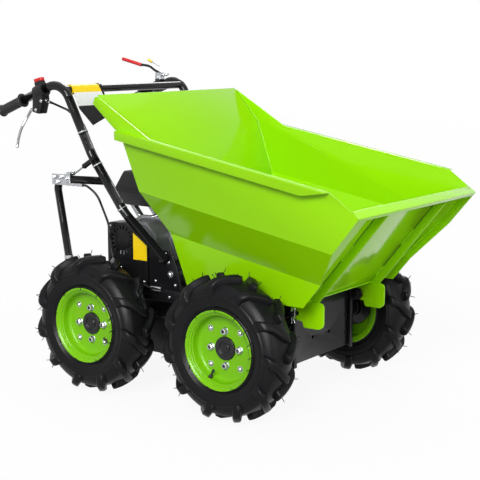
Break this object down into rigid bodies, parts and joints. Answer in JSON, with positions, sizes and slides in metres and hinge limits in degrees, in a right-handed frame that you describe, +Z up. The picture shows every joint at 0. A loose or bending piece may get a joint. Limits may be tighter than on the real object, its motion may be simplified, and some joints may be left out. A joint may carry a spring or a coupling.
{
  "type": "walk-behind site dumper with tipping skip",
  "caption": "Pedestrian-operated wheeled site dumper: open sheet-metal skip that tips forward over the front axle, engine behind it and handlebar controls at the rear.",
  "frame": {"origin": "on the ground under the middle of the bounding box", "axes": "+X forward towards the skip lip, +Y to the left of the machine, +Z up"},
  "size_m": [1.3908, 0.804, 1.0178],
  "materials": {
    "skip_green": "satin lime green powder coat",
    "rim_green": "satin lime green powder coat",
    "chassis_black": "semi-gloss black powder coat",
    "engine_black": "fine textured black",
    "cast_aluminium": "as cast",
    "zinc_steel": "bright zinc",
    "rubber_black": "matt",
    "tyre_black": "matt tread",
    "switch_red": "gloss",
    "label_yellow": "gloss yellow",
    "tip_yellow": "gloss",
    "muffler_steel": "heat tinted",
    "hub_black": "black paint"
  },
  "bodies": {
    "chassis": {"chassis_tub": "chassis_black", "engine_deck": "chassis_black", "gearbox": "cast_aluminium", "front_axle_tubes": "chassis_black", "rear_axle_tubes": "chassis_black", "pivot_pins": "chassis_black", "rest_pads": "rubber_black", "engine_block": "cast_aluminium", "cylinder_head": "cast_aluminium", "fan_shroud": "engine_black", "recoil_starter": "engine_black", "fuel_tank": "engine_black", "air_cleaner": "engine_black", "muffler": "muffler_steel", "tank_stays": "cast_aluminium", "belt_guard": "chassis_black", "handlebar_brackets": "chassis_black", "handlebar_right": "chassis_black", "handlebar_left": "chassis_black", "cross_bar": "chassis_black", "label_panel": "label_yellow", "grips": "rubber_black", "switch_housing": "engine_black", "kill_switch": "switch_red", "brake_lever": "zinc_steel", "clutch_mount": "zinc_steel", "clutch_lever": "switch_red", "trigger_tip": "tip_yellow", "side_braces": "chassis_black", "shift_bracket": "zinc_steel", "shift_lever": "zinc_steel", "shift_knob": "engine_black", "cable_stop": "zinc_steel", "control_cables": "rubber_black"},
    "skip": {"skip_side_right": "skip_green", "skip_side_left": "skip_green", "skip_floor": "skip_green", "skip_front": "skip_green", "skip_rear": "skip_green", "skip_ribs": "skip_green", "skip_ears": "skip_green"},
    "wheel_front_right": {"tyre_front_right": "tyre_black", "rim_front_right": "rim_green", "hub_front_right": "hub_black"},
    "wheel_front_left": {"tyre_front_left": "tyre_black", "rim_front_left": "rim_green", "hub_front_left": "hub_black"},
    "wheel_rear_right": {"tyre_rear_right": "tyre_black", "rim_rear_right": "rim_green", "hub_rear_right": "hub_black"},
    "wheel_rear_left": {"tyre_rear_left": "tyre_black", "rim_rear_left": "rim_green", "hub_rear_left": "hub_black"}
  },
  "joints": [
    {"name": "skip_tip", "type": "hinge", "parent": "chassis", "child": "skip", "pos_m": [0.39054, 0, 0.301], "axis": [0, 1, 0], "range_deg": [0, 75]},
    {"name": "wheel_front_right_spin", "type": "hinge", "parent": "chassis", "child": "wheel_front_right", "pos_m": [0.27054, -0.341, 0.215], "axis": [0, 1, 0], "continuous": true},
    {"name": "wheel_front_left_spin", "type": "hinge", "parent": "chassis", "child": "wheel_front_left", "pos_m": [0.27054, 0.341, 0.215], "axis": [0, 1, 0], "continuous": true},
    {"name": "wheel_rear_right_spin", "type": "hinge", "parent": "chassis", "child": "wheel_rear_right", "pos_m": [-0.24546, -0.341, 0.215], "axis": [0, 1, 0], "continuous": true},
    {"name": "wheel_rear_left_spin", "type": "hinge", "parent": "chassis", "child": "wheel_rear_left", "pos_m": [-0.24546, 0.341, 0.215], "axis": [0, 1, 0], "continuous": true}
  ]
}
